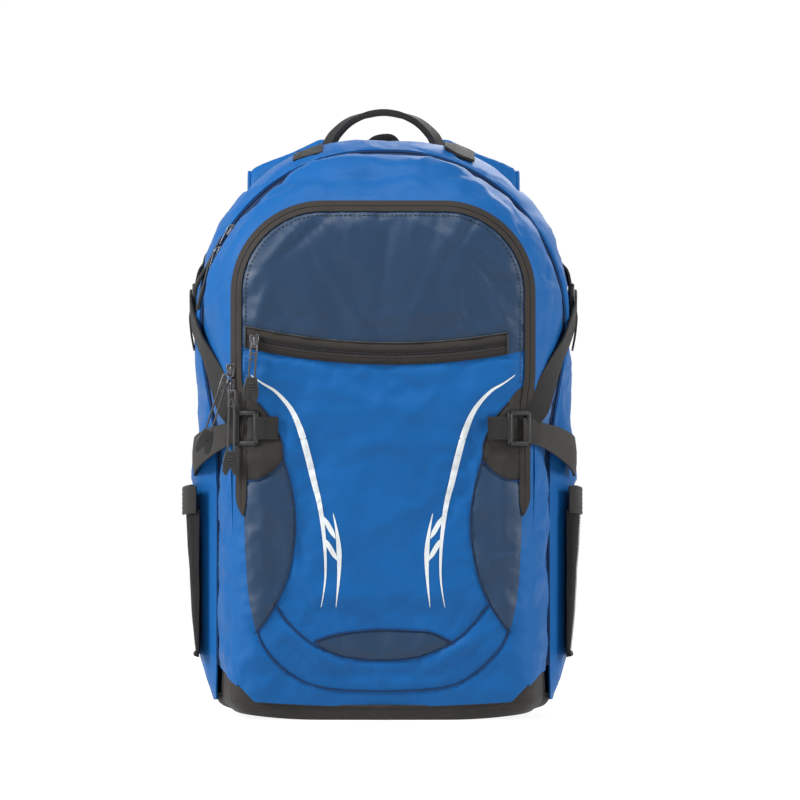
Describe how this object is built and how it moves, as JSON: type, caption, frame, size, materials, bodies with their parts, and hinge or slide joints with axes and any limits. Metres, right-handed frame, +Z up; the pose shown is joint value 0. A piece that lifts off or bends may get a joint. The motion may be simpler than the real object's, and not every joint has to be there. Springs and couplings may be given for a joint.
{
  "type": "daypack",
  "caption": "Panel-loading hiking daypack with a fold-down front, an arch-zipped front flap, side pockets, compression straps, padded shoulder straps and a grab handle.",
  "frame": {"origin": "middle of the flat base, on the surface that the pack stands on", "axes": "+Z up, -Y out of the front panel, +X to the right of someone facing the front"},
  "size_m": [0.356, 0.2593, 0.5383],
  "materials": {
    "blue_nylon": "soft satin weave",
    "navy_nylon": "satin weave",
    "base_fabric": "coarse coated weave",
    "zip_tape": "woven tape",
    "back_mesh": "padded air mesh",
    "stiffener_plastic": "matte",
    "lining": "thin lining",
    "pocket_mesh": "stretch mesh",
    "elastic": "ribbed elastic",
    "webbing": "woven webbing",
    "buckle_plastic": "fine satin",
    "strap_padding": "padded weave",
    "zip_metal": "gunmetal",
    "pull_cord": "braided",
    "grip_rubber": "matte"
  },
  "bodies": {
    "pack": {"crown_gusset": "blue_nylon", "side_gusset_left": "blue_nylon", "side_gusset_right": "blue_nylon", "main_zip_body_side": "zip_tape", "base_panel": "base_fabric", "back_panel": "back_mesh", "frame_sheet": "stiffener_plastic", "inner_sleeve": "lining", "back_pads": "back_mesh", "front_gusset_lower": "blue_nylon", "divider_lower": "lining", "front_panel_lower": "blue_nylon", "mesh_pocket_left": "pocket_mesh", "mesh_pocket_right": "pocket_mesh", "pocket_bindings": "elastic", "hang_loop": "webbing", "shoulder_webbing": "webbing", "compression_ladder_locks": "buckle_plastic"},
    "front_lid": {"main_zip_lid_side": "zip_tape", "front_gusset_upper": "blue_nylon", "divider_upper": "lining", "front_panel_middle": "blue_nylon", "arch_zip_lid_side": "zip_tape", "compression_arm_left": "webbing", "compression_arm_right": "webbing", "compression_wing_left": "webbing", "compression_wing_right": "webbing", "compression_rings": "buckle_plastic", "ring_tabs": "webbing"},
    "arch_flap": {"arch_zip_flap_side": "zip_tape", "flap_panel_upper": "navy_nylon", "flap_panel_lower": "blue_nylon", "pocket_zip": "zip_tape", "pocket_lining": "lining"},
    "grab_handle": {"top_handle": "webbing"},
    "strap_left": {"shoulder_strap_left": "strap_padding", "shoulder_ladder_lock_left": "buckle_plastic"},
    "strap_right": {"shoulder_strap_right": "strap_padding", "shoulder_ladder_lock_right": "buckle_plastic"},
    "main_upper_zip_slider": {"main_upper_slider": "zip_metal"},
    "main_upper_pull": {"main_upper_link": "zip_metal", "main_upper_cord": "pull_cord", "main_upper_grip": "grip_rubber"},
    "main_lower_zip_slider": {"main_lower_slider": "zip_metal"},
    "main_lower_pull": {"main_lower_link": "zip_metal", "main_lower_cord": "pull_cord", "main_lower_grip": "grip_rubber"},
    "pocket_zip_slider": {"pocket_slider": "zip_metal"},
    "pocket_pull": {"pocket_link": "zip_metal", "pocket_cord": "pull_cord", "pocket_grip": "grip_rubber"},
    "arch_upper_zip_slider": {"arch_upper_slider": "zip_metal"},
    "arch_upper_pull": {"arch_upper_link": "zip_metal", "arch_upper_cord": "pull_cord", "arch_upper_grip": "grip_rubber"},
    "arch_lower_zip_slider": {"arch_lower_slider": "zip_metal"},
    "arch_lower_pull": {"arch_lower_link": "zip_metal", "arch_lower_cord": "pull_cord", "arch_lower_grip": "grip_rubber"}
  },
  "joints": [
    {"name": "front_fold", "type": "hinge", "parent": "pack", "child": "front_lid", "pos_m": [0, -0.1115, 0.215], "axis": [1, 0, 0], "range_deg": [0, 75]},
    {"name": "arch_flap_fold", "type": "hinge", "parent": "front_lid", "child": "arch_flap", "pos_m": [0, -0.1115, 0.275], "axis": [1, 0, 0], "range_deg": [0, 50]},
    {"name": "main_upper_zip_run", "type": "hinge", "parent": "front_lid", "child": "main_upper_zip_slider", "pos_m": [-0.007, -0.03, 0.343], "axis": [0, 1, 0], "range_deg": [0, 50]},
    {"name": "main_lower_zip_run", "type": "hinge", "parent": "front_lid", "child": "main_lower_zip_slider", "pos_m": [-0.007, -0.03, 0.343], "axis": [0, 1, 0], "range_deg": [-4, 0]},
    {"name": "pocket_zip_run", "type": "hinge", "parent": "arch_flap", "child": "pocket_zip_slider", "pos_m": [0, -0.1089, 0.889], "axis": [0, 1, 0], "range_deg": [-20, 0]},
    {"name": "arch_upper_zip_run", "type": "slide", "parent": "front_lid", "child": "arch_upper_zip_slider", "axis": [0, 0, 1], "range_m": [0, 0.061]},
    {"name": "arch_lower_zip_run", "type": "slide", "parent": "front_lid", "child": "arch_lower_zip_slider", "axis": [0, 0, 1], "range_m": [-0.004, 0]},
    {"name": "handle_swing", "type": "hinge", "parent": "pack", "child": "grab_handle", "pos_m": [0, 0.058, 0.4965], "axis": [1, 0, 0], "range_deg": [0, 45]},
    {"name": "strap_left_swing", "type": "hinge", "parent": "pack", "child": "strap_left", "pos_m": [-0.085, 0.106, 0.488], "axis": [1, 0, 0], "range_deg": [0, 40]},
    {"name": "strap_right_swing", "type": "hinge", "parent": "pack", "child": "strap_right", "pos_m": [0.085, 0.106, 0.488], "axis": [1, 0, 0], "range_deg": [0, 40]},
    {"name": "main_upper_pull_swing", "type": "hinge", "parent": "main_upper_zip_slider", "child": "main_upper_pull", "pos_m": [-0.13753, -0.024, 0.42923], "axis": [0, 1, 0], "range_deg": [0, 60]},
    {"name": "main_lower_pull_swing", "type": "hinge", "parent": "main_lower_zip_slider", "child": "main_lower_pull", "pos_m": [-0.149, -0.036, 0.40916], "axis": [0, 1, 0], "range_deg": [0, 60]},
    {"name": "pocket_pull_swing", "type": "hinge", "parent": "pocket_zip_slider", "child": "pocket_pull", "pos_m": [-0.112, -0.1162, 0.32811], "axis": [1, 0, 0], "range_deg": [-60, 0]},
    {"name": "arch_upper_pull_swing", "type": "hinge", "parent": "arch_upper_zip_slider", "child": "arch_upper_pull", "pos_m": [-0.136, -0.1035, 0.3015], "axis": [1, 0, 0], "range_deg": [-60, 0]},
    {"name": "arch_lower_pull_swing", "type": "hinge", "parent": "arch_lower_zip_slider", "child": "arch_lower_pull", "pos_m": [-0.1315, -0.1089, 0.288], "axis": [1, 0, 0], "range_deg": [-60, 0]}
  ]
}
